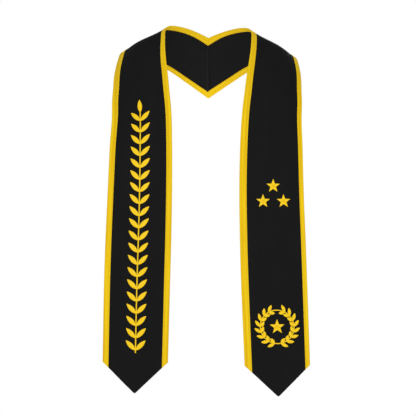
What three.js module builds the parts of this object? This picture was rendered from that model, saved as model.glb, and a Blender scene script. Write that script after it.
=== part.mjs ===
// Graduation stole, in the shape it has when it is worn: two straight satin bands, joined by a mitred
// seam behind the neck, that pass over the shoulders and hang down the front to a pointed hem. Gold
// ribbon is folded over both long edges of each band.
//
// Millimetres, +Z up. The wearer faces -Y, so the wearer's left is +X. The origin is at the nape, where
// the neck edge crosses the centre back seam.
import * as THREE from 'three';

// The bands as they are cut
const BAND_WIDTH = 127;
const POINT_DROP = 62;
const PLY = 1.0;
const TRIM_WIDTH = 12.7;
const RIBBON_WIDTH = 26.7;
const RIBBON_SLIDE = 4;
const RIBBON = 1.0;

// The way they are worn
const NECK_HALF = 88;
const CHEST_REACH = 178;
const CHEST_FALL = 165;
const HANG = 497.2;
const SWAY = 4.5;
const LEVEL_SHIFT = 2.2;
const SHOULDER_SKEW = 2.7;
const CROWN = 10;
// Where the bulge has its top: 1 is the middle of the band, and more is nearer the outer edge
const CROWN_LEAN = 1.4;

// Gold embroidery: a laurel branch on the wearer's right, stars and a wreath on the wearer's left
const THREAD = 0.9;
const BRANCH_LENGTH = 475;
const BRANCH_UNITS = 10;
const BRANCH_ABOVE_HEM = 18;
const STEM = 2.4;
const LEAF_LENGTH = 26;
const LEAF_WIDTH = 9;
const LEAF_LEAN = 44;
const LEAF_FEET = [0.12, 0.62];
const LEAF_SIDES = [
  { along: 0.32, half: 0.43 },
  { along: 0.68, half: 0.4 },
];
const STAR_POINTS = 5;
const STAR_WAIST = 0.42;
const STAR_RADIUS = 14;
const STAR_SPREAD = 20;
const STARS_ABOVE_HEM = 330;
const WREATH_RADIUS = 32.5;
const WREATH_STEM = 2.2;
const WREATH_LEAF_LENGTH = 15;
const WREATH_LEAF_WIDTH = 6.4;
const WREATH_INNER_SHARE = 0.8;
const WREATH_LEAF_LEAN = 36;
const WREATH_LEAVES = 8;
const WREATH_START = 0.55;
const WREATH_ABOVE_HEM = 75;
const WREATH_STAR_RADIUS = 15;

// Clearances between pieces
const PLY_GAP = 0.3;
const TRIM_GAP = 0.3;
const THREAD_GAP = 0.3;
const SEAM_GAP = 0.3;
const UNIT_GAP = 0.3;

// Fineness of the sections. CORNER_SHARES are places across the band, as shares of BAND_WIDTH: the
// ribbons end before the second of them, and after the last but one.
const CORNER_SHARES = [0, 0.14, 0.32, 0.5, 0.68, 0.86, 1];
const SHOULDER_STEP = 18;
const HANG_STEP = 40;
const HEM_STEPS = 3;
const HEM_BLEND = 90;
const SAMPLES = 24;
const NUDGE = 0.01;

// One row for each place along the neck edge, from the centre back seam to the hem.
//   out    sideways from the middle, as a share of NECK_HALF
//   ahead  forwards of the nape, as a share of CHEST_REACH
//   fall   below the nape, as a share of CHEST_FALL
//   hang   further down, as a share of HANG
//   turn   how far the band swings back from facing the front, in degrees
//   dip    how far the band slopes down to its outer edge, in degrees
//   span   length of the section, as a share of BAND_WIDTH: the mitred seam cuts the band at a slant
//   crown  how far the band bulges outwards, as a share of CROWN
//   shift  how far the section takes part in LEVEL_SHIFT, up on the wearer's right and down on the left
//   skew   the same for the outer edge alone, and SHOULDER_SKEW
//   sway   the same sideways, and SWAY: both bands hang a little towards the wearer's right
//   slide  how far the outer ribbon slides from the lining on to the face, as a share of RIBBON_SLIDE
const ROW_COLUMNS = [
  'out', 'ahead', 'fall', 'hang', 'turn', 'dip', 'span', 'crown', 'shift', 'skew', 'sway', 'slide',
];
const ROW_SHARES = [
  [0, 0, 0, 0, 90, 47, 1.26, -0.5, 0, 0, 0, 0],
  [0.24, 0.045, -0.05, 0, 76, 42, 1.11, -0.4, 0.4, 0, 0, 0.3],
  [0.475, 0.125, -0.082, 0, 62, 35, 1, -0.1, 0.7, 0.1, 0, 0.45],
  [0.73, 0.235, -0.094, 0, 51, 27, 1, 0.2, 0.9, 0.4, 0, 0.6],
  [0.9, 0.325, -0.078, 0, 43, 20.3, 1, 0.3, 1, 0.8, 0, 0.75],
  [0.99, 0.425, -0.02, 0, 37, 19, 1, 0.4, 1, 1, 0, 0.9],
  [0.995, 0.54, 0.1, 0, 33, 19.2, 1, 0.53, 0.9, 0.9, 0.1, 1],
  [0.975, 0.63, 0.25, 0, 30, 17.3, 1, 0.68, 0.7, 0.6, 0.25, 1],
  [0.945, 0.685, 0.38, 0, 28, 14.5, 1, 0.8, 0.5, 0.4, 0.38, 1],
  [0.89, 0.75, 0.57, 0, 24.5, 11.5, 1, 0.8, 0.4, 0.2, 0.5, 0.9],
  [0.85, 0.8, 0.75, 0, 21, 9.5, 1, 0.7, 0.4, 0.1, 0.6, 0.7],
  [0.798, 0.855, 1, 0, 17.8, 7, 1, 0.6, 0.4, 0, 0.72, 0.45],
  [0.763, 0.91, 1, 0.12, 12, 3.5, 1, 0.45, 0.5, 0, 0.95, 0.15],
  [0.746, 0.955, 1, 0.305, 6, 0.5, 1.005, 0.33, 0.6, 0, 1.17, 0],
  [0.758, 0.985, 1, 0.505, 2, 0, 1.016, 0.25, 0.8, 0, 1.22, 0],
  [0.788, 1, 1, 0.695, 1, -0.3, 1.018, 0.2, 1, 0, 1.18, 0],
  [0.848, 1, 1, 1, 0, -0.75, 1.004, 0.15, 1.45, 0, 0.93, 0],
];
const ROWS = ROW_SHARES.map((shares) => {
  return Object.fromEntries(ROW_COLUMNS.map((name, i) => [name, shares[i]]));
});

const SATIN = { color: 0x1c1c1e, roughness: 0.5, metalness: 0 };
const GOLD = { color: 0xecc21c, roughness: 0.45, metalness: 0 };

// The ribbons aren't folded quite evenly: what shows of each on the face, as a share of TRIM_WIDTH. The
// rest of the ribbon's width lies on the lining. slide is a half's share of RIBBON_SLIDE.
const HALVES = [
  { name: 'left', side: 1, neckFold: 1.12, outerFold: 0.72, slide: 0.75 },
  { name: 'right', side: -1, neckFold: 0.91, outerFold: 0.92, slide: 1.2 },
];

// The neck edge and the outer edge of a half, as smooth curves through the rows. Sideways is outwards
// here: a half is only mirrored to its own side in toWorld.
function edgesOf(half) {
  const neck = [];
  const outer = [];
  for (const row of ROWS) {
    const turn = THREE.MathUtils.degToRad(row.turn);
    const dip = THREE.MathUtils.degToRad(row.dip);
    const length = BAND_WIDTH * row.span;
    const sway = -half.side * SWAY * row.sway;
    const shift = -half.side * LEVEL_SHIFT * row.shift;
    const start = new THREE.Vector3(
      NECK_HALF * row.out + sway,
      -CHEST_REACH * row.ahead,
      -CHEST_FALL * row.fall - HANG * row.hang + shift
    );
    const across = new THREE.Vector3(
      Math.cos(dip) * Math.cos(turn),
      Math.cos(dip) * Math.sin(turn),
      -Math.sin(dip)
    );
    const end = start.clone().addScaledVector(across, length);
    end.z -= half.side * SHOULDER_SKEW * row.skew;
    neck.push(start);
    outer.push(end);
  }
  neck.push(carriedOn(neck));
  outer.push(carriedOn(outer));
  return { neck: new THREE.CatmullRomCurve3(neck), outer: new THREE.CatmullRomCurve3(outer) };
}

// The next point of an edge, straight on below the last one: the point of the hem reaches down to it
function carriedOn(points) {
  const last = points[points.length - 1];
  const before = points[points.length - 2];
  const step = last.clone().sub(before).setLength(POINT_DROP);
  return last.clone().add(step);
}

// A point of the cloth's middle surface: row counts along the table, across goes from 0 at the neck edge
// to 1
function middlePoint(edges, row, across) {
  const share = row / ROWS.length;
  const start = edges.neck.getPoint(share);
  const end = edges.outer.getPoint(share);
  return start.lerp(end, across);
}

// The direction straight out of the cloth, away from the wearer
function outwards(edges, row, across) {
  const along = new THREE.Vector3(1, 0, 0);
  if (row > 0) {
    const behind = middlePoint(edges, Math.max(0, row - NUDGE), across);
    const before = middlePoint(edges, Math.min(ROWS.length, row + NUDGE), across);
    along.subVectors(before, behind);
  }
  const wide = middlePoint(edges, row, 1).sub(middlePoint(edges, row, 0));
  return along.cross(wide).normalize();
}

// A column of the table between two rows
function valueAt(row, column) {
  const first = Math.min(Math.floor(row), ROWS.length - 1);
  const second = Math.min(first + 1, ROWS.length - 1);
  return THREE.MathUtils.lerp(ROWS[first][column], ROWS[second][column], Math.min(1, row - first));
}

// Share of the crown at a place across the band. It is straight between the corners of a section, so
// that all the layers stay parallel.
function bulgeAt(across) {
  const bell = (place) => Math.sin(Math.PI * place ** CROWN_LEAN) ** 2;
  const next = Math.max(1, CORNER_SHARES.findIndex((corner) => corner >= across));
  const [low, high] = [CORNER_SHARES[next - 1], CORNER_SHARES[next]];
  return THREE.MathUtils.lerp(bell(low), bell(high), (across - low) / (high - low));
}

function clothPoint(edges, row, across, height) {
  const bulge = CROWN * valueAt(row, 'crown') * bulgeAt(across);
  const point = middlePoint(edges, row, across);
  point.addScaledVector(outwards(edges, row, across), bulge + height);
  point.x = Math.max(point.x, SEAM_GAP / 2);
  return point;
}

function toWorld(half, point) {
  return [half.side * point.x, point.y, point.z];
}

// Lengths along the middle of a band: lengths[i] is the distance from the seam to the row i / SAMPLES
function measure(edges) {
  const lengths = [0];
  let before = middlePoint(edges, 0, 0.5);
  for (let i = 1; i <= ROWS.length * SAMPLES; i += 1) {
    const here = middlePoint(edges, i / SAMPLES, 0.5);
    lengths.push(lengths[i - 1] + here.distanceTo(before));
    before = here;
  }
  return lengths;
}

function rowAt(lengths, distance) {
  let i = 1;
  while (i < lengths.length - 1 && lengths[i] < distance) {
    i += 1;
  }
  const share = (distance - lengths[i - 1]) / (lengths[i] - lengths[i - 1]);
  return (i - 1 + Math.min(1, Math.max(0, share))) / SAMPLES;
}

// Distances of the sections, close together over the shoulder and wider where the band hangs
function sectionDistances(lengths) {
  const distances = [];
  const lastRow = ROWS.length - 1;
  const corner = lengths[lastRow * SAMPLES];
  for (let row = 0; row < lastRow; row += 1) {
    const start = lengths[row * SAMPLES];
    const end = Math.min(lengths[(row + 1) * SAMPLES], corner - HEM_BLEND);
    const step = ROWS[row + 1].hang > 0 ? HANG_STEP : SHOULDER_STEP;
    const steps = Math.max(1, Math.ceil((end - start) / step));
    for (let i = 0; i < steps && start < end; i += 1) {
      distances.push(start + ((end - start) * i) / steps);
    }
  }
  return distances;
}

// Sections of a half: each is a function that gives a section's distance at any place across the band.
// The last few bend step by step into the pointed hem.
function sectionsOf(lengths) {
  const corner = lengths[(ROWS.length - 1) * SAMPLES];
  const sections = sectionDistances(lengths).map((distance) => () => distance);
  for (let i = 0; i <= HEM_STEPS; i += 1) {
    const share = i / HEM_STEPS;
    sections.push((across) => {
      const drop = POINT_DROP * (1 - Math.abs(2 * across - 1));
      return corner - HEM_BLEND + (HEM_BLEND + drop) * share;
    });
  }
  return sections;
}

// A wall swept along a half, between two paths across the band with as many points each. A point of a
// path is [distance from the neck edge, height over the cloth, way that it slides].
function sweep(half, { outside, inside }) {
  const positions = [];
  const faces = [];
  const ring = [...outside, ...inside.toReversed()];
  const count = ring.length;
  for (const section of half.sections) {
    for (const [reach, height, way = 0] of ring) {
      const row = rowAt(half.lengths, section(reach / BAND_WIDTH));
      const slide = way * half.slide * RIBBON_SLIDE * valueAt(row, 'slide');
      const across = (reach + slide) / BAND_WIDTH;
      positions.push(...toWorld(half, clothPoint(half.edges, row, across, height)));
    }
  }
  for (let s = 0; s < half.sections.length - 1; s += 1) {
    for (let p = 0; p < count; p += 1) {
      const a = s * count + p;
      const b = s * count + ((p + 1) % count);
      faces.push([a, a + count, b], [b, a + count, b + count]);
    }
  }
  const last = (half.sections.length - 1) * count;
  for (let a = 0; a < outside.length - 1; a += 1) {
    const b = a + 1;
    const c = count - 1 - b;
    const d = count - 1 - a;
    faces.push([a, b, c], [a, c, d]);
    faces.push([last + a, last + c, last + b], [last + a, last + d, last + c]);
  }
  return closedBody(positions, faces);
}

// Puts the faces of a closed body the right way round: the volume they enclose is positive
function closedBody(positions, faces) {
  const corner = (i) => new THREE.Vector3().fromArray(positions, 3 * i);
  let volume = 0;
  for (const [a, b, c] of faces) {
    volume += corner(a).dot(corner(b).cross(corner(c)));
  }
  const index = faces.flatMap(([a, b, c]) => (volume > 0 ? [a, b, c] : [a, c, b]));
  const geometry = new THREE.BufferGeometry();
  geometry.setAttribute('position', new THREE.Float32BufferAttribute(positions, 3));
  geometry.setIndex(index);
  return geometry;
}

// Heights over the middle surface
const PLY_INSIDE = PLY_GAP / 2;
const PLY_OUTSIDE = PLY_INSIDE + PLY;
const RIBBON_INSIDE = PLY_OUTSIDE + TRIM_GAP;
const RIBBON_OUTSIDE = RIBBON_INSIDE + RIBBON;
const THREAD_INSIDE = PLY_OUTSIDE + THREAD_GAP;

// A layer of satin between two heights, from inside one folded ribbon to inside the other
function plyProfile(low, high) {
  const edge = RIBBON + TRIM_GAP;
  const inner = CORNER_SHARES.slice(1, -1).map((corner) => BAND_WIDTH * corner);
  const reaches = [edge, ...inner, BAND_WIDTH - edge];
  return {
    outside: reaches.map((reach) => [reach, high]),
    inside: reaches.map((reach) => [reach, low]),
  };
}

// A ribbon folded over the neck edge: a leg on the face, a round fold, and a leg on the lining
function ribbonProfile(faceLeg, liningLeg) {
  const foldedPath = (edge, bend, reach) => [
    [faceLeg, reach],
    [edge + bend, reach],
    [edge, reach / 2],
    [edge, -reach / 2],
    [edge + bend, -reach],
    [liningLeg, -reach],
  ];
  return {
    outside: foldedPath(0, RIBBON_OUTSIDE / 2, RIBBON_OUTSIDE),
    inside: foldedPath(RIBBON, TRIM_GAP, RIBBON_INSIDE),
  };
}

// The same, folded over the outer edge. Its two ends slide: what the face gains, the lining loses.
function outerRibbonProfile(faceLeg, liningLeg) {
  const { outside, inside } = ribbonProfile(faceLeg, liningLeg);
  const mirrored = (path) => path.map(([reach, height], i) => {
    const isEnd = i === 0 || i === path.length - 1;
    return [BAND_WIDTH - reach, height, isEnd ? -Math.sign(height) : 0];
  });
  return { outside: mirrored(outside), inside: mirrored(inside) };
}

// How far the middle of the black field lies outwards of the middle of the band
function fieldShift(half) {
  return (TRIM_WIDTH * (half.neckFold - half.outerFold)) / 2;
}

// A flat figure laid on the front of a band. Its x is across the band from the middle of the black
// field, its y is up from the level of the hem's corners.
function appliqued(half, shape, rise) {
  const flat = new THREE.ExtrudeGeometry(shape, { depth: THREAD, bevelEnabled: false, steps: 1 });
  const place = flat.getAttribute('position');
  const corner = half.lengths[(ROWS.length - 1) * SAMPLES];
  const positions = [];
  const faces = [];
  for (let i = 0; i < place.count; i += 1) {
    const across = 0.5 + (place.getX(i) + fieldShift(half)) / BAND_WIDTH;
    const row = rowAt(half.lengths, corner - rise - place.getY(i));
    const height = THREAD_INSIDE + place.getZ(i);
    positions.push(...toWorld(half, clothPoint(half.edges, row, across, height)));
  }
  for (let i = 0; i < place.count; i += 3) {
    faces.push([i, i + 1, i + 2]);
  }
  return closedBody(positions, faces);
}

// Outline of a leaf whose foot is at (x, y) and which points along the angle, from one side of the foot
// round the tip to the other
function leafOutline(x, y, angle, length, width) {
  const lower = LEAF_SIDES.map(({ along, half }) => [along * length, -half * width]);
  const upper = LEAF_SIDES.map(({ along, half }) => [along * length, half * width]).reverse();
  const points = [...lower, [length, 0], ...upper];
  return points.map(([along, aside]) => [
    x + along * Math.cos(angle) - aside * Math.sin(angle),
    y + along * Math.sin(angle) + aside * Math.cos(angle),
  ]);
}

function shapeFrom(points) {
  return new THREE.Shape(points.map(([x, y]) => new THREE.Vector2(x, y)));
}

// One length of the branch: a straight stem with two pairs of leaves, and a leaf on its end if it is the
// last one
function branchShape(isTop) {
  const length = BRANCH_LENGTH / BRANCH_UNITS - UNIT_GAP;
  const half = STEM / 2;
  const angle = THREE.MathUtils.degToRad(90 - LEAF_LEAN);
  const right = [[half, 0]];
  for (const foot of LEAF_FEET) {
    const base = foot * length;
    right.push([half, base - STEM / 2]);
    right.push(...leafOutline(half, base, angle, LEAF_LENGTH, LEAF_WIDTH));
    right.push([half, base + STEM]);
  }
  right.push([half, length]);
  const left = right.map(([x, y]) => [-x, y]).reverse();
  const tip = isTop ? leafOutline(0, length, Math.PI / 2, LEAF_LENGTH, LEAF_WIDTH) : [];
  return shapeFrom([...right, ...tip, ...left]);
}

function starShape(radius) {
  const points = [];
  for (let i = 0; i < 2 * STAR_POINTS; i += 1) {
    const reach = i % 2 === 0 ? radius : radius * STAR_WAIST;
    const angle = Math.PI / 2 + (i * Math.PI) / STAR_POINTS;
    points.push([reach * Math.cos(angle), reach * Math.sin(angle)]);
  }
  return shapeFrom(points);
}

// One round outline of the wreath. The leaves climb both sides of the ring from its foot, on the outside
// of the ring where way is 1 and on its inside where way is -1.
function wreathOutline(radius, way) {
  const right = [];
  const onRing = (angle) => [radius * Math.cos(angle), radius * Math.sin(angle)];
  const step = Math.PI / (WREATH_LEAVES + 1);
  const foot = WREATH_STEM / 2 / radius;
  const lean = way * THREE.MathUtils.degToRad(WREATH_LEAF_LEAN);
  const length = way > 0 ? WREATH_LEAF_LENGTH : WREATH_LEAF_LENGTH * WREATH_INNER_SHARE;
  for (let i = 0; i < WREATH_LEAVES; i += 1) {
    const around = -Math.PI / 2 + step * (i + WREATH_START);
    const leaf = leafOutline(...onRing(around), around + Math.PI / 2 - lean, length, WREATH_LEAF_WIDTH);
    right.push(onRing(around - foot), ...(way > 0 ? leaf : leaf.reverse()), onRing(around + foot));
  }
  const left = right.map(([x, y]) => [-x, y]).reverse();
  return [...right, [0, radius], ...left, [0, -radius]];
}

function wreathShape() {
  const shape = shapeFrom(wreathOutline(WREATH_RADIUS + WREATH_STEM / 2, 1));
  shape.holes.push(shapeFrom(wreathOutline(WREATH_RADIUS - WREATH_STEM / 2, -1)));
  return shape;
}

function movedShape(shape, x, y) {
  return new THREE.Shape(shape.getPoints().map((point) => point.add(new THREE.Vector2(x, y))));
}

const group = new THREE.Group();

function addPiece(name, geometry, look) {
  const mesh = new THREE.Mesh(geometry, new THREE.MeshStandardMaterial(look));
  mesh.name = name;
  group.add(mesh);
}

for (const half of HALVES) {
  half.edges = edgesOf(half);
  half.lengths = measure(half.edges);
  half.sections = sectionsOf(half.lengths);
  const neckLeg = TRIM_WIDTH * half.neckFold;
  const outerLeg = TRIM_WIDTH * half.outerFold;
  const neckRest = RIBBON_WIDTH - neckLeg;
  const outerRest = RIBBON_WIDTH - outerLeg;
  addPiece(`face_${half.name}`, sweep(half, plyProfile(PLY_INSIDE, PLY_OUTSIDE)), SATIN);
  addPiece(`lining_${half.name}`, sweep(half, plyProfile(-PLY_OUTSIDE, -PLY_INSIDE)), SATIN);
  addPiece(`neck_trim_${half.name}`, sweep(half, ribbonProfile(neckLeg, neckRest)), GOLD);
  addPiece(`outer_trim_${half.name}`, sweep(half, outerRibbonProfile(outerLeg, outerRest)), GOLD);
}

const [leftHalf, rightHalf] = HALVES;

for (let i = 0; i < BRANCH_UNITS; i += 1) {
  const rise = BRANCH_ABOVE_HEM + (BRANCH_LENGTH * i) / BRANCH_UNITS;
  const isTop = i === BRANCH_UNITS - 1;
  addPiece(`laurel_branch_${i + 1}`, appliqued(rightHalf, branchShape(isTop), rise), GOLD);
}

const starPlaces = [[0, STAR_SPREAD], [-STAR_SPREAD, -STAR_SPREAD / 2], [STAR_SPREAD, -STAR_SPREAD / 2]];
starPlaces.forEach(([x, y], i) => {
  const star = movedShape(starShape(STAR_RADIUS), x, y);
  addPiece(`star_${i + 1}`, appliqued(leftHalf, star, STARS_ABOVE_HEM), GOLD);
});

addPiece('wreath', appliqued(leftHalf, wreathShape(), WREATH_ABOVE_HEM), GOLD);
addPiece('wreath_star', appliqued(leftHalf, starShape(WREATH_STAR_RADIUS), WREATH_ABOVE_HEM), GOLD);

export default group;
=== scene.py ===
"""Looks of a graduation stole, as it is worn: satin bands with a sewn back seam and pressed hems,
ribbon folded over their long edges, and raised embroidery.

Metres, +Z up. The wearer faces -Y, so the wearer's left is +X. Everything is laid on the cloth's
middle surface, which follows the same rows as the solids. A place on a band is its distance from
the back seam, its reach from the neck edge and its height over the middle surface.
"""

import math

import bpy
import numpy as np
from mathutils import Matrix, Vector


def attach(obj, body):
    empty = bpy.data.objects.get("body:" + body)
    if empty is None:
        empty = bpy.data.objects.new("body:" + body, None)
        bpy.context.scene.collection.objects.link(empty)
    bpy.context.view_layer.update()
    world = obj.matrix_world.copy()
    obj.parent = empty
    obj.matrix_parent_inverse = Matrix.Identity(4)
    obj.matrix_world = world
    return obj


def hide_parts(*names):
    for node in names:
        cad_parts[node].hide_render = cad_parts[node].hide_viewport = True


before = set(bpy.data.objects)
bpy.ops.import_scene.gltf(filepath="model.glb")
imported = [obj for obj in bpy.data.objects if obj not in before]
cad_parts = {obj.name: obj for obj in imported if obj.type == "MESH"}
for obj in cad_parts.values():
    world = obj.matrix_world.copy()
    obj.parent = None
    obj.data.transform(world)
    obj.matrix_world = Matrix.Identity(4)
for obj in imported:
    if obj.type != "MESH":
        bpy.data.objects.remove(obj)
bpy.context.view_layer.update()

# The bands, as in the solids
BAND_WIDTH = 0.127
POINT_DROP = 0.062
TRIM_WIDTH = 0.0127
RIBBON_WIDTH = 0.0267
RIBBON_SLIDE = 0.004
RIBBON = 0.001
NECK_HALF = 0.088
CHEST_REACH = 0.178
CHEST_FALL = 0.165
HANG = 0.4972
SWAY = 0.0045
LEVEL_SHIFT = 0.0022
SHOULDER_SKEW = 0.0027
CROWN = 0.01
CROWN_LEAN = 1.4
TRIM_GAP = 0.0003

# One row for each place along the neck edge, from the back seam to the hem, as in the solids.
# out, ahead, fall and hang are shares of NECK_HALF, CHEST_REACH, CHEST_FALL and HANG. turn and dip
# are in degrees. span, crown, shift, skew, sway and slide are shares of BAND_WIDTH, CROWN,
# LEVEL_SHIFT, SHOULDER_SKEW, SWAY and RIBBON_SLIDE.
ROW_COLUMNS = (
    "out", "ahead", "fall", "hang", "turn", "dip", "span", "crown", "shift", "skew", "sway", "slide"
)
ROWS = (
    (0.0, 0.0, 0.0, 0.0, 90, 47, 1.26, -0.5, 0.0, 0.0, 0.0, 0),
    (0.24, 0.045, -0.05, 0.0, 76, 42, 1.11, -0.4, 0.4, 0.0, 0.0, 0.3),
    (0.475, 0.125, -0.082, 0.0, 62, 35, 1.0, -0.1, 0.7, 0.1, 0.0, 0.45),
    (0.73, 0.235, -0.094, 0.0, 51, 27, 1.0, 0.2, 0.9, 0.4, 0.0, 0.6),
    (0.9, 0.325, -0.078, 0.0, 43, 20.3, 1.0, 0.3, 1.0, 0.8, 0.0, 0.75),
    (0.99, 0.425, -0.02, 0.0, 37, 19, 1.0, 0.4, 1.0, 1.0, 0.0, 0.9),
    (0.995, 0.54, 0.1, 0.0, 33, 19.2, 1.0, 0.53, 0.9, 0.9, 0.1, 1),
    (0.975, 0.63, 0.25, 0.0, 30, 17.3, 1.0, 0.68, 0.7, 0.6, 0.25, 1),
    (0.945, 0.685, 0.38, 0.0, 28, 14.5, 1.0, 0.8, 0.5, 0.4, 0.38, 1),
    (0.89, 0.75, 0.57, 0.0, 24.5, 11.5, 1.0, 0.8, 0.4, 0.2, 0.5, 0.9),
    (0.85, 0.8, 0.75, 0.0, 21, 9.5, 1.0, 0.7, 0.4, 0.1, 0.6, 0.7),
    (0.798, 0.855, 1.0, 0.0, 17.8, 7, 1.0, 0.6, 0.4, 0.0, 0.72, 0.45),
    (0.763, 0.91, 1.0, 0.12, 12, 3.5, 1.0, 0.45, 0.5, 0.0, 0.95, 0.15),
    (0.746, 0.955, 1.0, 0.305, 6, 0.5, 1.005, 0.33, 0.6, 0.0, 1.17, 0),
    (0.758, 0.985, 1.0, 0.505, 2, 0, 1.016, 0.25, 0.8, 0.0, 1.22, 0),
    (0.788, 1.0, 1.0, 0.695, 1, -0.3, 1.018, 0.2, 1.0, 0.0, 1.18, 0),
    (0.848, 1.0, 1.0, 1.0, 0, -0.75, 1.004, 0.15, 1.45, 0.0, 0.93, 0),
)
ROW_COUNT = len(ROWS)

# Samples for each row, and the step along the rows, in rows, that finds their direction
SAMPLES = 24
NUDGE = 0.01

# How the neck ribbon slides from the face on to the lining over the shoulder, and back again
# behind the neck, as one share of NECK_SLIDE for each row. The solids leave this out.
NECK_SLIDE = 0.002
LEFT_NECK_SLIDES = (1.3, -0.9, -0.75, -0.4, 0.1, 0.65, 0.8, 0.9, 0.65, 0.1, 0, 0, 0, 0, 0, 0, 0)
RIGHT_NECK_SLIDES = (0.3, -1.2, -1.1, -0.5, 0.3, 1.1, 1.1, 0.3, 0, -0.3, -0.2, 0, 0, 0, 0, 0, 0)

# What shows of the neck ribbon and the outer ribbon on the face, as a share of TRIM_WIDTH, and how
# much the outer ribbon slides on to the face over the shoulder, as a share of RIBBON_SLIDE
LEFT_FOLDS = (1.12, 0.72, 0.75)
RIGHT_FOLDS = (0.91, 0.92, 1.2)

# Heights over the middle surface
PLY_INSIDE = 0.00015
PLY_OUTSIDE = 0.0008
RIBBON_INSIDE = 0.00085
RIBBON_OUTSIDE = 0.0015
THREAD_TOP = 0.0018

# The back seam: over how much of the first row the thickness turns into the seam's plane, how deep
# and how wide the layers are sewn in, and how much that flattens the ribbons
SEAM_BLEND = 0.7
SEAM_DEPTH = 0.0006
SEAM_WIDTH = 0.0015
SEAM_PRESS = 0.4

# The hem: its roll, the height of the satin at its edge, the share of the inside height there, how
# much it flattens the ribbons, how far up the sections bend into the point, and the blunt tip
HEM_ROLL = 0.0018
HEM_EDGE = 0.00025
HEM_INSIDE_SHARE = 0.3
HEM_PRESS = 0.35
HEM_BLEND = 0.09
TIP_ROUNDING = 0.015

# Gathers beside the stitches: height, pitch and reach. Two slow waves make their pitch drift. A
# ripple has a pace, how far the drift moves it, and an offset.
PUCKER = 0.00016
PUCKER_PITCH = 0.0125
PUCKER_REACH = 0.008
DRIFT_HEIGHTS = (0.9, 0.7)
DRIFT_PACES = (0.83, 0.37)
NECK_RIPPLE = (1.0, 2.0, 0.0)
OUTER_RIPPLE = (0.93, 2.4, 1.0)

# Slow folds of the hanging bands: height, turns across the band, turns for each metre along it,
# and an offset in turns. They start at one distance from the back seam and are full at another.
WAVES = (
    (0.0011, 0.55, 1.7, 0.10),
    (0.0006, 1.20, 3.1, 0.45),
    (0.0003, 2.10, 5.3, 0.80),
)
WAVE_START = 0.3
WAVE_FULL = 0.55

# Fineness of the skins. Creases over SHARP_ANGLE, in degrees, are shaded sharp.
SECTION_STEP = 0.003
SEAM_STEPS = (0.0, 0.0004, 0.0009, 0.0015, 0.0023, 0.0033)
HEM_SECTIONS = 34
HEM_STEPS = (0.006, 0.0035, 0.002, 0.0011, 0.0005, 0.0)
PLY_COLUMNS = 43
FOLD_STEPS = 11
LEG_STEPS = 5
SHARP_ANGLE = 55

# Section of a ribbon at its free edge: how far in from the edge, and the share of the ribbon's
# thickness there. A bead of selvedge comes first, then the dent of the stitches.
RIBBON_EDGE = (
    (0.0, 0.4),
    (0.0002, 0.75),
    (0.0006, 0.97),
    (0.0010, 0.88),
    (0.0015, 0.6),
    (0.0020, 0.86),
    (0.0028, 0.98),
    (0.0050, 1.0),
)
RIBBON_BEND = 0.0013

# Stitches along the ribbons, in the dent of RIBBON_EDGE. The shape gives the share of the radius
# at shares of the length.
STITCH_INSET = 0.0015
STITCH_PITCH = 0.003
STITCH_LENGTH = 0.0024
STITCH_RADIUS = 0.00024
STITCH_START = 0.004
STITCH_STOP = 0.006
STITCH_SHAPE = ((0.0, 0.35), (0.15, 0.85), (0.5, 1.0), (0.85, 0.85), (1.0, 0.35))
STITCH_SIDES = 6

# Embroidery: its sizes, as in the solids, with leans in degrees
BRANCH_LENGTH = 0.475
BRANCH_UNITS = 10
BRANCH_ABOVE_HEM = 0.018
STEM = 0.0024
LEAF_LENGTH = 0.026
LEAF_WIDTH = 0.009
LEAF_LEAN = 44
LEAF_FEET = (0.12, 0.62)
STAR_POINTS = 5
STAR_WAIST = 0.42
STAR_RADIUS = 0.014
STAR_SPREAD = 0.02
STARS_ABOVE_HEM = 0.33
WREATH_RADIUS = 0.0325
WREATH_STEM = 0.0022
WREATH_LEAF_LENGTH = 0.015
WREATH_LEAF_WIDTH = 0.0064
WREATH_INNER_SHARE = 0.8
WREATH_LEAF_LEAN = 36
WREATH_LEAVES = 8
WREATH_START = 0.55
WREATH_ABOVE_HEM = 0.075
WREATH_STAR_RADIUS = 0.015

# Satin stitch: threads side by side over padding, with THREAD_STEPS sections for each thread and a
# foot a little inside the satin. The profile gives places from one side of a patch to the other,
# and how much of the patch's rise they have.
THREAD_PITCH = 0.0009
THREAD_STEPS = 4
FEWEST_STEPS = 8
THREAD_RIDGE = 0.00006
THREAD_FOOT = 0.00006
STITCH_PROFILE = (
    (-1.0, 0.0),
    (-0.99, 0.42),
    (-0.86, 0.70),
    (-0.6, 0.88),
    (-0.25, 0.98),
    (0.0, 1.0),
    (0.25, 0.98),
    (0.6, 0.88),
    (0.86, 0.70),
    (0.99, 0.42),
    (1.0, 0.0),
)

# Stems: how high they rise, how their threads slant, and how far from their middle leaves start,
# as a share of their width
STEM_RISE = 0.9
STEM_SLANT = 0.9
LEAF_ROOT = 1 / 3

# Leaves: depth and width of the vein, and the slant of the threads. The outline and the crown each
# have a share at the ends, a lean, below 1 where they are fullest nearer the foot, and a point,
# below 1 where their ends are blunt.
LEAF_VEIN = 0.3
VEIN_WIDTH = 0.12
LEAF_SLANT = 1.0
LEAF_OUTLINE = (0.04, 0.9, 0.8)
LEAF_CROWN = (0.35, 0.8, 0.6)

# Stars: share of the width at the tips, and how much lower the tips lie
STAR_TIP = 0.02
STAR_DROP = 0.5

# Colours, from dark to light
SATIN_COLOURS = ((0.0041, 0.0041, 0.0043), (0.0071, 0.0071, 0.0073))
LINING_COLOURS = ((0.0045, 0.0045, 0.0047), (0.0077, 0.0077, 0.0079))
RIBBON_COLOURS = ((0.364, 0.208, 0.003), (0.484, 0.347, 0.0064))
THREAD_COLOURS = ((0.412, 0.257, 0.004), (0.559, 0.375, 0.007))
FLOOR_COLOURS = ((0.80, 0.80, 0.80), (0.86, 0.86, 0.86))

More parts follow.
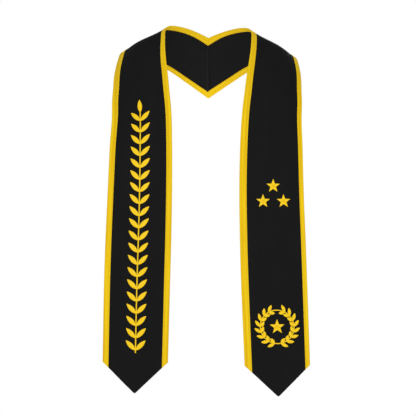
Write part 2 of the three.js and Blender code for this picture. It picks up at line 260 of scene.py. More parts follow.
# Width of the painted light beside the back seam, and what the colour is multiplied by there:
# painted shade on the left half, and a painted highlight on the right half, whose edge is on top.
SEAM_PAINTED_SHADE = (0.005, 0.72)
SEAM_PAINTED_HIGHLIGHT = (0.003, 1.6)

# Gloss, roughness from smooth to rough, and the sheen's weight and roughness
SATIN_GLOSS = 0.002
SATIN_ROUGHNESS = (0.44, 0.6)
SATIN_SHEEN = (0.001, 0.4)
RIBBON_GLOSS = 0.01
RIBBON_ROUGHNESS = (0.42, 0.58)
RIBBON_SHEEN = (0.02, 0.4)
THREAD_GLOSS = 0.06
THREAD_ROUGHNESS = (0.34, 0.5)
THREAD_SHEEN = (0.03, 0.5)
GOLD_TINT = (1.0, 0.8, 0.3, 1)
FLOOR_GLOSS = 0.2
FLOOR_ROUGHNESS = 0.8

# Noises: turns for each metre across the cloth and along it, and detail. Most of a noise's values
# lie in NOISE_RANGE.
SATIN_CLOUDS = (38, 9, 3)
SATIN_STREAKS = (900, 26, 2)
SATIN_FLOATS = (2600, 500, 1)
RIBBON_STRIPES = (240, 4, 1)
RIBBON_STREAKS = (750, 14, 3)
STRIPE_SHARE = 0.65
THREAD_STRANDS = (300, 1800, 2)
FLOOR_GRAIN = 6.0
NOISE_RANGE = (0.3, 0.7)

# Ribs of the weave: direction, scale, distortion and detail
SATIN_RIBS = ("X", 900.0, 1.2, 1.0)
RIBBON_RIBS = ("Y", 500.0, 0.6, 2.0)

# Bumps: distance and strength
SATIN_BUMP = (0.00008, 0.35)
RIBBON_BUMP = (0.0001, 0.35)
THREAD_BUMP = (0.00012, 0.5)

# Sockets of a mix node that mixes colours
MIX_SHARE = 0
MIX_COLOURS = (6, 7)
MIX_RESULT = 2

# The photograph's camera
CAMERA_PLACE = (-0.0008, -2.4, -0.358)
CAMERA_LENS = 98.66
CAMERA_SENSOR = 36.0

# The studio. A light has a name, its place, where it points, its size and its power.
FLOOR_LEVEL = -1.45
FLOOR_HALF = 2.0
WORLD_LIGHT = 1.0
LIGHTS = (
    ("key_light", (-0.4, -2.6, 0.3), (0, 0, -0.35), 1.4, 49),
    ("fill_light", (0.9, -2.4, -0.2), (0, 0, -0.35), 1.6, 16),
    ("back_light", (0.4, 2.6, 0.4), (0, 0, -0.35), 1.6, 42),
)
# Light that is thrown back on to the inside of the bands behind the neck
BOUNCE_LIGHT = ("bounce_light", (0, 0, -0.32), (0, 0.08, -0.1), 0.3, 0.72)


def smooth_step(value):
    """0 below 0, 1 above 1, and a soft way between."""
    share = np.clip(value, 0, 1)
    return share * share * (3 - 2 * share)


def smoothed(values, width):
    """Running mean of a row of values, with its ends held."""
    padded = np.pad(values, (width // 2, width - 1 - width // 2), mode="edge")
    return np.convolve(padded, np.ones(width) / width, mode="valid")


def root_distance(start, end):
    """The square root of the distance between places."""
    return np.linalg.norm(end - start, axis=-1, keepdims=True) ** 0.5


def spline(points, share):
    """Places on the centripetal curve through the points, at shares of the way from 0 to 1."""
    last = len(points) - 1
    padded = np.vstack([2 * points[0] - points[1], points, 2 * points[-1] - points[-2]])
    place = np.clip(share, 0, 1) * last
    index = np.minimum(place.astype(int), last - 1)
    way = (place - index)[..., None]
    before, here, ahead, after = (padded[index + step] for step in range(4))
    gap_before = root_distance(before, here)
    gap = root_distance(here, ahead)
    gap_after = root_distance(ahead, after)
    start = gap * (
        (here - before) / gap_before
        - (ahead - before) / (gap_before + gap)
        + (ahead - here) / gap
    )
    end = gap * (
        (ahead - here) / gap
        - (after - here) / (gap + gap_after)
        + (after - ahead) / gap_after
    )
    square = 3 * (ahead - here) - 2 * start - end
    cube = 2 * (here - ahead) + start + end
    return here + way * (start + way * (square + way * cube))


def carried_on(points):
    """The points of an edge, and one more straight on, which the hem's point reaches down to."""
    step = points[-1] - points[-2]
    step *= POINT_DROP / np.linalg.norm(step)
    return np.vstack([points, points[-1] + step])


def edges_of(side, table):
    """The neck edge and the outer edge of a half. Sideways is outwards here, on both halves."""
    turn = np.radians(table["turn"])
    dip = np.radians(table["dip"])
    sway = -side * SWAY * table["sway"]
    shift = side * LEVEL_SHIFT * table["shift"]
    neck = np.stack(
        [
            NECK_HALF * table["out"] + sway,
            -CHEST_REACH * table["ahead"],
            -CHEST_FALL * table["fall"] - HANG * table["hang"] - shift,
        ],
        axis=-1,
    )
    level = np.cos(dip)
    across = np.stack([level * np.cos(turn), level * np.sin(turn), -np.sin(dip)], axis=-1)
    outer = neck + across * (BAND_WIDTH * table["span"])[:, None]
    outer[:, 2] -= side * SHOULDER_SKEW * table["skew"]
    return carried_on(neck), carried_on(outer)


def ripple(turns, drift, pace, swing, offset):
    """Gathers along an edge, from -1 to 1."""
    return np.sin(2 * math.pi * turns * pace + swing * drift + offset)


class Band:
    """One half of the stole. side is 1 on the wearer's left and -1 on the wearer's right."""

    def __init__(self, name, side, neck_slides, neck_fold, outer_fold, outer_slide):
        self.name = name
        self.side = side
        self.neck_leg = TRIM_WIDTH * neck_fold
        self.outer_leg = TRIM_WIDTH * outer_fold
        self.field_shift = (self.neck_leg - self.outer_leg) / 2
        table = dict(zip(ROW_COLUMNS, np.array(ROWS).T))
        self.neck, self.outer = edges_of(side, table)
        self.rows = np.linspace(0, ROW_COUNT, ROW_COUNT * SAMPLES + 1)
        self.crowns = CROWN * self.smooth_rows(table["crown"])
        self.neck_slides = NECK_SLIDE * self.smooth_rows(neck_slides)
        self.outer_slides = RIBBON_SLIDE * outer_slide * self.smooth_rows(table["slide"])
        middle = self.middle(self.rows, np.array(0.5))
        steps = np.linalg.norm(np.diff(middle, axis=0), axis=1)
        self.lengths = np.concatenate([[0], np.cumsum(steps)])
        self.corner = self.lengths[(ROW_COUNT - 1) * SAMPLES]

    def smooth_rows(self, column):
        """A column of the table at every sample of the rows, with its bends smoothed."""
        values = np.interp(self.rows, np.arange(ROW_COUNT), column)
        return smoothed(smoothed(values, SAMPLES + 1), SAMPLES // 2 + 1)

    def slide(self, distance, at_neck):
        """How far a ribbon has slid: towards the neck on the face, and outwards on the lining."""
        return np.interp(distance, self.lengths, self.neck_slides if at_neck else self.outer_slides)

    def edge_length(self, edge):
        """Length of an edge of the band, from the seam to the corner of the hem."""
        points = spline(edge, self.rows[: (ROW_COUNT - 1) * SAMPLES + 1] / ROW_COUNT)
        return float(np.linalg.norm(np.diff(points, axis=0), axis=1).sum())

    def middle(self, row, across):
        """Places on the middle surface, without crown and folds. across is a share of the width."""
        start = spline(self.neck, row / ROW_COUNT)
        end = spline(self.outer, row / ROW_COUNT)
        return start + (end - start) * across[..., None]

    def outwards(self, row, across):
        """The direction straight out of the cloth, away from the wearer."""
        along = self.middle(row + NUDGE, across) - self.middle(row - NUDGE, across)
        along /= np.linalg.norm(along, axis=-1, keepdims=True)
        away = smooth_step(row / SEAM_BLEND)[..., None]
        along = away * along + (1 - away) * np.array([1.0, 0.0, 0.0])
        wide = spline(self.outer, row / ROW_COUNT) - spline(self.neck, row / ROW_COUNT)
        normal = np.cross(along, wide)
        return normal / np.linalg.norm(normal, axis=-1, keepdims=True)

    def wave(self, distance, across):
        """Slow folds, the same for all the layers of the band."""
        total = np.zeros(np.broadcast(distance, across).shape)
        for height, turns_across, turns_along, offset in WAVES:
            turns = self.side * turns_across * across + turns_along * distance + offset
            total += height * np.sin(2 * math.pi * turns)
        return total * smooth_step((distance - WAVE_START) / (WAVE_FULL - WAVE_START))

    def pucker(self, distance, reach):
        """Gathers beside the stitches of both ribbons, which raise the face and the lining alike."""
        neck_side = np.exp(-(((reach - self.neck_leg) / PUCKER_REACH) ** 2))
        outer_side = np.exp(-(((BAND_WIDTH - self.outer_leg - reach) / PUCKER_REACH) ** 2))
        turns = distance / PUCKER_PITCH
        first = DRIFT_HEIGHTS[0] * np.sin(turns * DRIFT_PACES[0] + self.side)
        second = DRIFT_HEIGHTS[1] * np.sin(turns * DRIFT_PACES[1])
        drift = first + second
        neck_ripple = ripple(turns, drift, *NECK_RIPPLE)
        outer_ripple = ripple(turns, drift, *OUTER_RIPPLE)
        return PUCKER * (neck_side * neck_ripple + outer_side * outer_ripple)

    def place(self, distance, reach, height):
        """World places of points on the band, from broadcastable distances, reaches and heights.

        Nothing crosses the plane of the back seam.
        """
        distance, reach, height = np.broadcast_arrays(distance, reach, height)
        across = reach / BAND_WIDTH
        row = np.interp(distance, self.lengths, self.rows)
        crown = np.interp(row, self.rows, self.crowns)
        bulge = crown * np.sin(math.pi * across**CROWN_LEAN) ** 2
        lift = bulge + self.wave(distance, across) + height
        point = self.middle(row, across) + self.outwards(row, across) * lift[..., None]
        point[..., 0] = np.maximum(point[..., 0], 0) * self.side
        return point

    def hem_at(self, reach):
        """Distance of the pointed hem from the back seam."""
        aside = 2 * reach / BAND_WIDTH - 1
        tent = np.sqrt(aside**2 + TIP_ROUNDING**2)
        return self.corner + POINT_DROP * (1 - np.minimum(tent, 1))

    def sections(self, reach):
        """Distances of the sections for each reach: straight at first, and bent into the point."""
        start = self.corner - HEM_BLEND
        straight = np.arange(SEAM_STEPS[-1] + SECTION_STEP / 2, start, SECTION_STEP)
        straight = np.concatenate([SEAM_STEPS, straight])
        flat = np.repeat(straight[:, None], len(reach), axis=1)
        end = self.hem_at(reach)
        shares = np.linspace(0, 1, HEM_SECTIONS, endpoint=False)[:, None]
        bent = start + (end - HEM_STEPS[0] - start) * shares
        last = end - np.array(HEM_STEPS)[:, None]
        return np.vstack([flat, bent, last])


def sweep_faces(sections, around, loops=False):
    """Quads of the skin round a row of rings. Unless it loops, its ends are closed across."""
    section = np.arange(sections if loops else sections - 1)[:, None]
    corner = np.arange(around)[None, :]
    next_corner = (corner + 1) % around
    ring = section * around
    next_ring = (section + 1) % sections * around
    sides = np.stack(
        [ring + corner, next_ring + corner, next_ring + next_corner, ring + next_corner],
        axis=-1,
    ).reshape(-1, 4)
    if loops:
        return sides
    first = np.arange(around // 2 - 1)
    cap = np.stack([first, first + 1, around - 2 - first, around - 1 - first], axis=-1)
    return np.vstack([sides, cap, cap[:, ::-1] + (sections - 1) * around])


def six_volumes(points, faces):
    """Six times the volume that the faces enclose, below 0 where they are inside out."""
    first, second, third, fourth = (points[faces[:, corner]] for corner in range(4))
    near = np.sum(first * np.cross(second, third))
    far = np.sum(first * np.cross(third, fourth))
    return float(near + far)


class Skin:
    """Collects closed bodies, with their flat places on the cloth, into one piece."""

    def __init__(self):
        self.points = []
        self.faces = []
        self.flat = []
        self.count = 0

    def add(self, points, flat, loops=False):
        """Adds bodies whose points have the shape (bodies, sections, around, 3).

        A single body may come without the first of these.
        """
        points = points.reshape(-1, *points.shape[-3:])
        flat = flat.reshape(-1, *flat.shape[-3:])
        bodies, sections, around = points.shape[:3]
        faces = sweep_faces(sections, around, loops)
        if six_volumes(points[0].reshape(-1, 3), faces) < 0:
            faces = faces[:, ::-1]
        starts = self.count + np.arange(bodies) * sections * around
        self.faces.append((faces[None] + starts[:, None, None]).reshape(-1, 4))
        self.points.append(points.reshape(-1, 3))
        self.flat.append(flat.reshape(-1, 2))
        self.count += bodies * sections * around

    def piece(self, name, material, slot, *nodes):
        """Makes the object, which rides on the root body and stands for the given nodes."""
        points = np.concatenate(self.points)
        faces = np.concatenate(self.faces)
        flat = np.concatenate(self.flat)
        mesh = bpy.data.meshes.new(name)
        mesh.from_pydata(points.tolist(), [], faces.tolist())
        layer = mesh.uv_layers.new(name="cloth")
        layer.data.foreach_set("uv", flat[faces.ravel()].astype(np.float32).ravel())
        mesh.shade_smooth()
        mesh.set_sharp_from_angle(angle=math.radians(SHARP_ANGLE))
        mesh.materials.append(material)
        made = bpy.data.objects.new(name, mesh)
        bpy.context.scene.collection.objects.link(made)
        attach(made, "root")
        if nodes:
            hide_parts(*nodes)
        return made


def seam_dip(distance):
    """How far a layer sinks into the sewn back seam."""
    return SEAM_DEPTH * np.exp(-((distance / SEAM_WIDTH) ** 2))


def hem_roll(band, distance, reach):
    """0 at the hem and 1 a little above it, along a quarter round."""
    share = np.clip((band.hem_at(reach) - distance) / HEM_ROLL, 0, 1)
    return np.sqrt(1 - (1 - share) ** 2)


def make_ply(band, name, way, material, slot, node):
    """A layer of satin. way is 1 for the face and -1 for the lining."""
    edge = RIBBON + TRIM_GAP
    reach = np.linspace(edge, BAND_WIDTH - edge, PLY_COLUMNS)
    distance = band.sections(reach)
    roll = hem_roll(band, distance, reach)
    outside = HEM_EDGE + (PLY_OUTSIDE - HEM_EDGE) * roll
    outside = outside + band.pucker(distance, reach) * roll - seam_dip(distance)
    inside = PLY_INSIDE * (HEM_INSIDE_SHARE + (1 - HEM_INSIDE_SHARE) * roll)
    top = band.place(distance, reach, way * outside)
    bottom = band.place(distance, reach, way * inside)
    points = np.concatenate([top, bottom[:, ::-1]], axis=1)
    flat_top = np.stack([np.broadcast_to(reach, distance.shape), distance], axis=-1)
    flat = np.concatenate([flat_top, flat_top[:, ::-1]], axis=1)
    skin = Skin()
    skin.add(points, flat)
    return skin.piece(name, material, slot, node)


def ribbon_leg(leg, way):
    """The outside and the inside of a ribbon from its free edge to its bend, on one side."""
    edge_in, edge_share = np.array(RIBBON_EDGE).T
    plain = np.linspace(leg - edge_in[-1], RIBBON_BEND, LEG_STEPS)[1:-1]
    reach = np.concatenate([leg - edge_in, plain])
    share = np.concatenate([edge_share, np.ones(len(plain))])
    rise = (RIBBON_OUTSIDE - RIBBON_INSIDE) * share
    outside = np.stack([reach, way * (RIBBON_INSIDE + rise)], axis=-1)
    inside = np.stack([reach, np.full(len(reach), way * RIBBON_INSIDE)], axis=-1)
    return outside, inside


def ribbon_bend(start, depth, half_height):
    """A half round over the edge of the band, from the face to the lining."""
    angles = np.linspace(math.pi / 2, -math.pi / 2, FOLD_STEPS)
    reach = start + depth * (1 - np.cos(angles))
    return np.stack([reach, half_height * np.sin(angles)], axis=-1)


def ribbon_paths(face_leg, lining_leg):
    """The outside and the inside of a ribbon folded over an edge, as rows of reach and height."""
    face_outside, face_inside = ribbon_leg(face_leg, 1)
    lining_outside, lining_inside = ribbon_leg(lining_leg, -1)
    outside_bend = ribbon_bend(0, RIBBON_BEND, RIBBON_OUTSIDE)
    inside_bend = ribbon_bend(RIBBON, TRIM_GAP, RIBBON_INSIDE)
    outside = np.vstack([face_outside, outside_bend, lining_outside[::-1]])
    inside = np.vstack([face_inside, inside_bend, lining_inside[::-1]])
    return outside, inside


def make_ribbon(band, name, at_neck, material, node):
    """A ribbon folded over the neck edge or the outer edge of a band."""
    face_leg = band.neck_leg if at_neck else band.outer_leg
    outside, inside = ribbon_paths(face_leg, RIBBON_WIDTH - face_leg)
    ring = np.vstack([outside, inside[::-1]])
    steps = np.linalg.norm(np.diff(outside, axis=0, prepend=outside[:1]), axis=1)
    across_ribbon = np.cumsum(steps)
    across_ribbon = np.concatenate([across_ribbon, across_ribbon[::-1]])
    reach = ring[:, 0] if at_neck else BAND_WIDTH - ring[:, 0]
    distance = band.sections(reach)
    side = np.sign(ring[:, 1])
    roll = hem_roll(band, distance, reach)
    pressed = 1 - HEM_PRESS * (1 - roll) - SEAM_PRESS * seam_dip(distance) / RIBBON_OUTSIDE
    height = ring[:, 1] * pressed + side * band.pucker(distance, reach)
    leg = np.where(side > 0, face_leg, RIBBON_WIDTH - face_leg)
    along_leg = np.clip((ring[:, 0] - RIBBON_BEND) / (leg - RIBBON_BEND), 0, 1)
    reach = reach - side * along_leg * band.slide(distance, at_neck)
    points = band.place(distance, reach, height)
    flat = np.stack([np.broadcast_to(across_ribbon, distance.shape), distance], axis=-1)
    skin = Skin()
    skin.add(points, flat)
    return skin.piece(name, material, "ribbon", node)


def add_stitch_row(skin, band, at_neck, leg, way):
    """Adds one row of stitches. way is 1 on the face and -1 on the lining."""
    along, radius = np.array(STITCH_SHAPE).T
    around = np.arange(STITCH_SIDES) * 2 * math.pi / STITCH_SIDES
    dent = RIBBON_INSIDE + (RIBBON_OUTSIDE - RIBBON_INSIDE) * dict(RIBBON_EDGE)[STITCH_INSET]
    inset = leg - STITCH_INSET
    line = inset if at_neck else BAND_WIDTH - inset
    end = float(band.hem_at(np.array(line))) - STITCH_STOP
    starts = np.arange(STITCH_START, end, STITCH_PITCH)
    distance = starts[:, None, None] + (along * STITCH_LENGTH)[None, :, None]
    wide = STITCH_RADIUS * radius[None, :, None]
    reach = line - way * band.slide(distance, at_neck) + wide * np.cos(around)[None, None, :]
    rise = wide * np.sin(around)[None, None, :]
    distance, reach, rise = np.broadcast_arrays(distance, reach, rise)
    height = way * (dent + rise + band.pucker(distance, reach))
    points = band.place(distance, reach, height)
    skin.add(points, np.stack([reach, distance], axis=-1))


def make_edge_stitches(band, name, material):
    """The rows of stitches that hold both ribbons, on the face and on the lining."""
    skin = Skin()
    for at_neck, face_leg in ((True, band.neck_leg), (False, band.outer_leg)):
        add_stitch_row(skin, band, at_neck, face_leg, 1)
        add_stitch_row(skin, band, at_neck, RIBBON_WIDTH - face_leg, -1)
    return skin.piece(name, material, "thread")


def on_line(foot, angle):
    """Turns places along and beside a straight line into places on the band's field."""
    direction = np.array([math.cos(angle), math.sin(angle)])
    beside = np.array([-direction[1], direction[0]])

    def placed(along, aside):
        return np.array(foot) + along[..., None] * direction + aside[..., None] * beside

    return placed


def on_circle(radius):
    """Turns places along and beside a circle round the origin into places on the band's field."""

    def placed(along, aside):
        angle = along / radius
        return (radius - aside)[..., None] * np.stack([np.cos(angle), np.sin(angle)], axis=-1)

    return placed


def satin_stitch(
    skin, band, centre, path, length, half_width, rise, slant=0.0, vein=0.0, loops=False
):
    """Adds a patch of satin stitch, laid along a path on the field of a band.

    half_width gives the patch's half width at shares of its length, and rise the share of its
    height there. centre is the place of the path's origin: its shift from the middle of the field
    and its level above the hem's corners.
    """
    steps = max(FEWEST_STEPS, round(length / THREAD_PITCH * THREAD_STEPS))
    count = steps if loops else steps + 1
    share = np.linspace(0, 1, count, endpoint=not loops)[:, None]
    place, lift = np.array(STITCH_PROFILE).T
    half = half_width(share)
    along = np.broadcast_to(length * share, (len(share), len(place)))
    aside = half * place
    lean = np.abs(place) if vein else place
    thread = np.cos(2 * math.pi * (along - slant * half * lean) / THREAD_PITCH)
    groove = 1 - vein * np.exp(-((place / VEIN_WIDTH) ** 2))
    full = THREAD_TOP - PLY_OUTSIDE
    height = lift * (full * rise(share) * groove + THREAD_RIDGE * thread)
    foot_along = along[:, :1]
    along = np.hstack([along, foot_along])
    aside = np.hstack([aside, np.zeros_like(foot_along)])
    height = np.hstack([height, np.zeros_like(foot_along)]) + PLY_OUTSIDE - THREAD_FOOT
    field = path(along, aside) + np.array(centre)
    reach = BAND_WIDTH / 2 + band.field_shift + field[..., 0]
    distance = band.corner - field[..., 1]
    skin.add(band.place(distance, reach, height), np.stack([aside, along], axis=-1), loops)


def swelling(share, ends, lean, point):
    """Rises from ends at the foot to 1 at the fullest place, and falls to ends again at the tip."""
    return ends + (1 - ends) * np.sin(math.pi * share**lean) ** point


def leaf_half_width(width):
    """The outline of a leaf that is this wide."""
    return lambda share: width / 2 * swelling(share, *LEAF_OUTLINE)


def leaf_rise(share):
    """The crown of a leaf."""
    return swelling(share, *LEAF_CROWN)


def even(value):
    """The same value all along a patch."""
    return lambda share: np.full_like(share, value)


def add_leaf(skin, band, centre, foot, angle, length, width):
    """Adds a leaf with a vein, from its foot at an angle."""
    path = on_line(foot, angle)
    outline = leaf_half_width(width)
    satin_stitch(skin, band, centre, path, length, outline, leaf_rise, LEAF_SLANT, LEAF_VEIN)


def make_branch_unit(band, number, material):
    """One length of the laurel branch: a stem with two pairs of leaves.

    The last length has a leaf on its end too.
    """
    skin = Skin()
    length = BRANCH_LENGTH / BRANCH_UNITS
    centre = (0, BRANCH_ABOVE_HEM + length * (number - 1))
    stem = on_line((0, 0), math.pi / 2)
    satin_stitch(skin, band, centre, stem, length, even(STEM / 2), even(STEM_RISE), STEM_SLANT)
    for foot in LEAF_FEET:
        for way in (1, -1):
            angle = math.pi / 2 - way * math.radians(LEAF_LEAN)
            base = (way * STEM * LEAF_ROOT, foot * length)
            add_leaf(skin, band, centre, base, angle, LEAF_LENGTH, LEAF_WIDTH)
    if number == BRANCH_UNITS:
        add_leaf(skin, band, centre, (0, length), math.pi / 2, LEAF_LENGTH, LEAF_WIDTH)
    skin.piece(f"stitched_branch_{number}", material, "thread", f"laurel_branch_{number}")


def make_star(band, name, centre, radius, material, node):
    """A star of kites of satin stitch that meet in the middle."""
    skin = Skin()
    turn = math.pi / STAR_POINTS
    waist_along = STAR_WAIST * math.cos(turn)
    waist_half = radius * STAR_WAIST * math.sin(turn)

    def half_width(share):
        widening = share / waist_along
        narrowing = (1 - share) / (1 - waist_along)
        return waist_half * np.clip(np.minimum(widening, narrowing), STAR_TIP, 1)

    def rise(share):
        return 1 - STAR_DROP * smooth_step((share - waist_along) / (1 - waist_along))

    for arm in range(STAR_POINTS):
        path = on_line((0, 0), math.pi / 2 + 2 * turn * arm)
        satin_stitch(skin, band, centre, path, radius, half_width, rise)
    skin.piece(name, material, "thread", node)


def make_stars(band, material):
    """Three stars in a triangle."""
    low = -STAR_SPREAD / 2
    places = ((0, STAR_SPREAD), (-STAR_SPREAD, low), (STAR_SPREAD, low))
    for number, (aside, above) in enumerate(places, 1):
        centre = (aside, STARS_ABOVE_HEM + above)
        name = f"stitched_star_{number}"
        make_star(band, name, centre, STAR_RADIUS, material, f"star_{number}")


def make_wreath(band, material):
    """A stitched ring with leaves that climb both its sides, outside and inside."""
    skin = Skin()
    centre = (0, WREATH_ABOVE_HEM)
    around = 2 * math.pi * WREATH_RADIUS
    ring = on_circle(WREATH_RADIUS)
    half_width = even(WREATH_STEM / 2)
    rise = even(STEM_RISE)
    satin_stitch(skin, band, centre, ring, around, half_width, rise, STEM_SLANT, loops=True)
    step = math.pi / (WREATH_LEAVES + 1)
    for leaf in range(WREATH_LEAVES):
        on_ring = -math.pi / 2 + step * (leaf + WREATH_START)
        for way in (1, -1):
            length = WREATH_LEAF_LENGTH * (1 if way > 0 else WREATH_INNER_SHARE)
            radius = WREATH_RADIUS + way * WREATH_STEM * LEAF_ROOT
            angle = on_ring + math.pi / 2 - way * math.radians(WREATH_LEAF_LEAN)
            foot = (radius * math.cos(on_ring), radius * math.sin(on_ring))
            add_leaf(skin, band, centre, foot, angle, length, WREATH_LEAF_WIDTH)
            mirrored = (-foot[0], foot[1])
            add_leaf(skin, band, centre, mirrored, math.pi - angle, length, WREATH_LEAF_WIDTH)
    skin.piece("stitched_wreath", material, "thread", "wreath")


class Look:
    """A material with its nodes: the shader, and helpers that add and join nodes."""

    def __init__(self, name, gloss):
        self.material = bpy.data.materials.new(name)
        self.material.use_nodes = True
        self.tree = self.material.node_tree
        self.shader = self.tree.nodes["Principled BSDF"]
        self.shader.inputs["Specular IOR Level"].default_value = gloss

    def sheen(self, weight, roughness, tint=(1, 1, 1, 1)):
        """Sets the soft shine of the cloth's fibres."""
        self.shader.inputs["Sheen Weight"].default_value = weight
        self.shader.inputs["Sheen Roughness"].default_value = roughness
        self.shader.inputs["Sheen Tint"].default_value = tint

    def fill(self, socket, value):
        """Gives a socket a value, which may be another node's output."""
        if isinstance(value, bpy.types.NodeSocket):
            self.tree.links.new(value, socket)
        else:
            socket.default_value = value

    def node(self, kind, settings=None, **values):
        """Adds a node with its settings and the values of its sockets."""
        made = self.tree.nodes.new(kind)
        for key, value in (settings or {}).items():
            setattr(made, key, value)
        for key, value in values.items():
            self.fill(made.inputs[key.replace("_", " ")], value)
        return made

    def cloth_place(self, across=1, along=1):
        """The flat place on the cloth, scaled to turns for each metre across and along."""
        flat = self.node("ShaderNodeUVMap", {"uv_map": "cloth"}).outputs["UV"]
        scaled = self.node("ShaderNodeMapping", Vector=flat, Scale=(across, along, 1))
        return scaled.outputs["Vector"]

    def cloth_noise(self, across, along, detail):
        """Noise on the cloth."""
        place = self.cloth_place(across, along)
        made = self.node("ShaderNodeTexNoise", Vector=place, Scale=1.0, Detail=detail)
        return made.outputs["Fac"]

    def cloth_ribs(self, direction, scale, distortion, detail):
        """Ribs of the weave."""
        made = self.node(
            "ShaderNodeTexWave",
            {"bands_direction": direction},
            Vector=self.cloth_place(),
            Scale=scale,
            Distortion=distortion,
            Detail=detail,
        )
        return made.outputs["Fac"]

    def ranged(self, value, source, target):
        """Turns a range of values into another one, and holds what lies beyond it."""
        made = self.node(
            "ShaderNodeMapRange",
            Value=value,
            From_Min=source[0],
            From_Max=source[1],
            To_Min=target[0],
            To_Max=target[1],
        )
        return made.outputs["Result"]

    def maths(self, operation, first, second):
        """Joins two values by a sum or a product."""
        made = self.node("ShaderNodeMath", {"operation": operation})
        self.fill(made.inputs[0], first)
        self.fill(made.inputs[1], second)
        return made.outputs["Value"]

    def mix(self, share, colours):
        """A colour between two."""
        made = self.node("ShaderNodeMix", {"data_type": "RGBA"})
        self.fill(made.inputs[MIX_SHARE], share)
        for socket, colour in zip(MIX_COLOURS, colours):
            made.inputs[socket].default_value = (*colour, 1)
        return made.outputs[MIX_RESULT]

    def colour(self, output):
        """Sets the colour."""
        self.tree.links.new(output, self.shader.inputs["Base Color"])

    def roughness(self, value):
        """Sets the roughness."""
        self.fill(self.shader.inputs["Roughness"], value)

    def bump(self, height, distance, strength):
        """Sets fine relief."""
        made = self.node("ShaderNodeBump", Height=height, Distance=distance, Strength=strength)
        self.tree.links.new(made.outputs["Normal"], self.shader.inputs["Normal"])


def satin_look(name, colours, seam_light_paint):
    """Black satin: long warp floats that catch a little light, fine weft, and slow unevenness.

    The last argument gives the width of the painted light beside the back seam, and what the colour
    is multiplied by there: below 1 for painted shade, above 1 for a painted highlight.
    """
    look = Look(name, SATIN_GLOSS)
    look.sheen(*SATIN_SHEEN)
    clouds = look.cloth_noise(*SATIN_CLOUDS)
    streaks = look.cloth_noise(*SATIN_STREAKS)
    mean = look.maths("MULTIPLY", look.maths("ADD", clouds, streaks), 0.5)
    cloth = look.mix(mean, colours)
    # Painted light beside the back seam: the colour's value is multiplied within the seam's width,
    # lower for painted shade and higher for a painted highlight.
    width, tone = seam_light_paint
    distance = look.node("ShaderNodeSeparateXYZ", Vector=look.cloth_place()).outputs["Y"]
    pressed = look.ranged(distance, (width / 2, width), (tone, 1.0))
    toned = look.node("ShaderNodeHueSaturation", Color=cloth, Value=pressed)
    look.colour(toned.outputs["Color"])
    look.roughness(look.ranged(streaks, NOISE_RANGE, SATIN_ROUGHNESS))
    ribs = look.cloth_ribs(*SATIN_RIBS)
    floats = look.cloth_noise(*SATIN_FLOATS)
    look.bump(look.maths("ADD", ribs, floats), *SATIN_BUMP)
    return look.material


def ribbon_look():
    """Gold ribbon: broad stripes and finer streaks along its warp, and fine ribs across."""
    look = Look("gold_ribbon", RIBBON_GLOSS)
    look.sheen(*RIBBON_SHEEN, GOLD_TINT)
    stripes = look.cloth_noise(*RIBBON_STRIPES)
    streaks = look.cloth_noise(*RIBBON_STREAKS)
    broad = look.maths("MULTIPLY", stripes, STRIPE_SHARE)
    fine = look.maths("MULTIPLY", streaks, 1 - STRIPE_SHARE)
    tone = look.ranged(look.maths("ADD", broad, fine), NOISE_RANGE, (0.0, 1.0))
    look.colour(look.mix(tone, RIBBON_COLOURS))
    look.roughness(look.ranged(streaks, NOISE_RANGE, RIBBON_ROUGHNESS))
    ribs = look.cloth_ribs(*RIBBON_RIBS)
    look.bump(look.maths("ADD", ribs, streaks), *RIBBON_BUMP)
    return look.material


def thread_look():
    """Gold embroidery thread: twisted strands with a soft shine."""
    look = Look("gold_thread", THREAD_GLOSS)
    look.sheen(*THREAD_SHEEN, GOLD_TINT)
    strands = look.cloth_noise(*THREAD_STRANDS)
    look.colour(look.mix(look.ranged(strands, NOISE_RANGE, (0.0, 1.0)), THREAD_COLOURS))
    look.roughness(look.ranged(strands, NOISE_RANGE, THREAD_ROUGHNESS))
    look.bump(strands, *THREAD_BUMP)
    return look.material


def floor_look():
    """A plain pale floor with a faint grain."""
    look = Look("pale_floor", FLOOR_GLOSS)
    look.roughness(FLOOR_ROUGHNESS)
    place = look.node("ShaderNodeTexCoord").outputs["Object"]
    grain = look.node("ShaderNodeTexNoise", Vector=place, Scale=FLOOR_GRAIN)
    look.colour(look.mix(grain.outputs["Fac"], FLOOR_COLOURS))
    return look.material


def make_floor():
    """A square floor, which isn't part of the object."""
    half = FLOOR_HALF
    corners = ((-half, -half), (half, -half), (half, half), (-half, half))
    mesh = bpy.data.meshes.new("floor")
    mesh.from_pydata([(x, y, FLOOR_LEVEL) for x, y in corners], [], [(0, 1, 2, 3)])
    mesh.materials.append(floor_look())
    floor = bpy.data.objects.new("floor", mesh)
    bpy.context.scene.collection.objects.link(floor)


def make_light(name, place, target, size, power):
    """A round soft light."""
    light = bpy.data.lights.new(name, "AREA")
    light.shape = "DISK"
    light.size = size
    light.energy = power
    made = bpy.data.objects.new(name, light)
    bpy.context.scene.collection.objects.link(made)
    made.location = place
    away = Vector(place) - Vector(target)
    made.rotation_euler = away.to_track_quat("Z", "Y").to_euler()
    return made


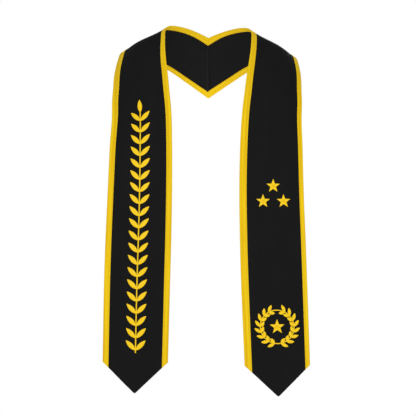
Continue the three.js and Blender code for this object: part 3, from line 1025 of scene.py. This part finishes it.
def make_studio():
    """A white world and the lights."""
    world = bpy.data.worlds.new("studio")
    world.use_nodes = True
    background = world.node_tree.nodes["Background"]
    background.inputs["Color"].default_value = (1, 1, 1, 1)
    background.inputs["Strength"].default_value = WORLD_LIGHT
    bpy.context.scene.world = world
    bpy.context.scene.view_settings.view_transform = "Standard"
    for light in LIGHTS:
        make_light(*light)
    bounce = make_light(*BOUNCE_LIGHT)
    bounce.visible_camera = False


def make_camera():
    """The camera, which looks straight ahead."""
    data = bpy.data.cameras.new("camera")
    data.lens = CAMERA_LENS
    data.sensor_width = CAMERA_SENSOR
    camera = bpy.data.objects.new("camera", data)
    bpy.context.scene.collection.objects.link(camera)
    camera.location = CAMERA_PLACE
    camera.rotation_euler = (math.pi / 2, 0, 0)
    bpy.context.scene.camera = camera


def declare_band(band):
    """Both layers of a half are a strip with a mitred end and a pointed end. This only works out the
    length of the longest edge, which nothing uses.
    """
    longest = band.edge_length(band.outer) + POINT_DROP


def make_band(band, satin, lining_satin, ribbon, thread):
    """The cloth of one half, its two ribbons and their stitches."""
    name = band.name
    face = make_ply(band, f"satin_face_{name}", 1, satin, "satin", f"face_{name}")
    lining = make_ply(band, f"satin_lining_{name}", -1, lining_satin, "lining", f"lining_{name}")
    declare_band(band)
    for place, at_neck, edge in (("neck", True, band.neck), ("outer", False, band.outer)):
        node = f"{place}_trim_{name}"
        folded = make_ribbon(band, f"folded_{place}_ribbon_{name}", at_neck, ribbon, node)
        length = band.edge_length(edge)
    make_edge_stitches(band, f"edge_stitches_{name}", thread)


make_camera()
make_studio()
make_floor()

ribbon = ribbon_look()
thread = thread_look()

left = Band("left", 1, LEFT_NECK_SLIDES, *LEFT_FOLDS)
right = Band("right", -1, RIGHT_NECK_SLIDES, *RIGHT_FOLDS)
# Each half's satin has painted light beside the back seam: painted shade on the left half and a
# painted highlight on the right half.
for half, seam_light_paint in ((left, SEAM_PAINTED_SHADE), (right, SEAM_PAINTED_HIGHLIGHT)):
    satin = satin_look(f"black_satin_{half.name}", SATIN_COLOURS, seam_light_paint)
    lining_satin = satin_look(f"black_lining_{half.name}", LINING_COLOURS, seam_light_paint)
    make_band(half, satin, lining_satin, ribbon, thread)

for number in range(1, BRANCH_UNITS + 1):
    make_branch_unit(right, number, thread)

make_stars(left, thread)
make_wreath(left, thread)
wreath_centre = (0, WREATH_ABOVE_HEM)
make_star(left, "stitched_wreath_star", wreath_centre, WREATH_STAR_RADIUS, thread, "wreath_star")
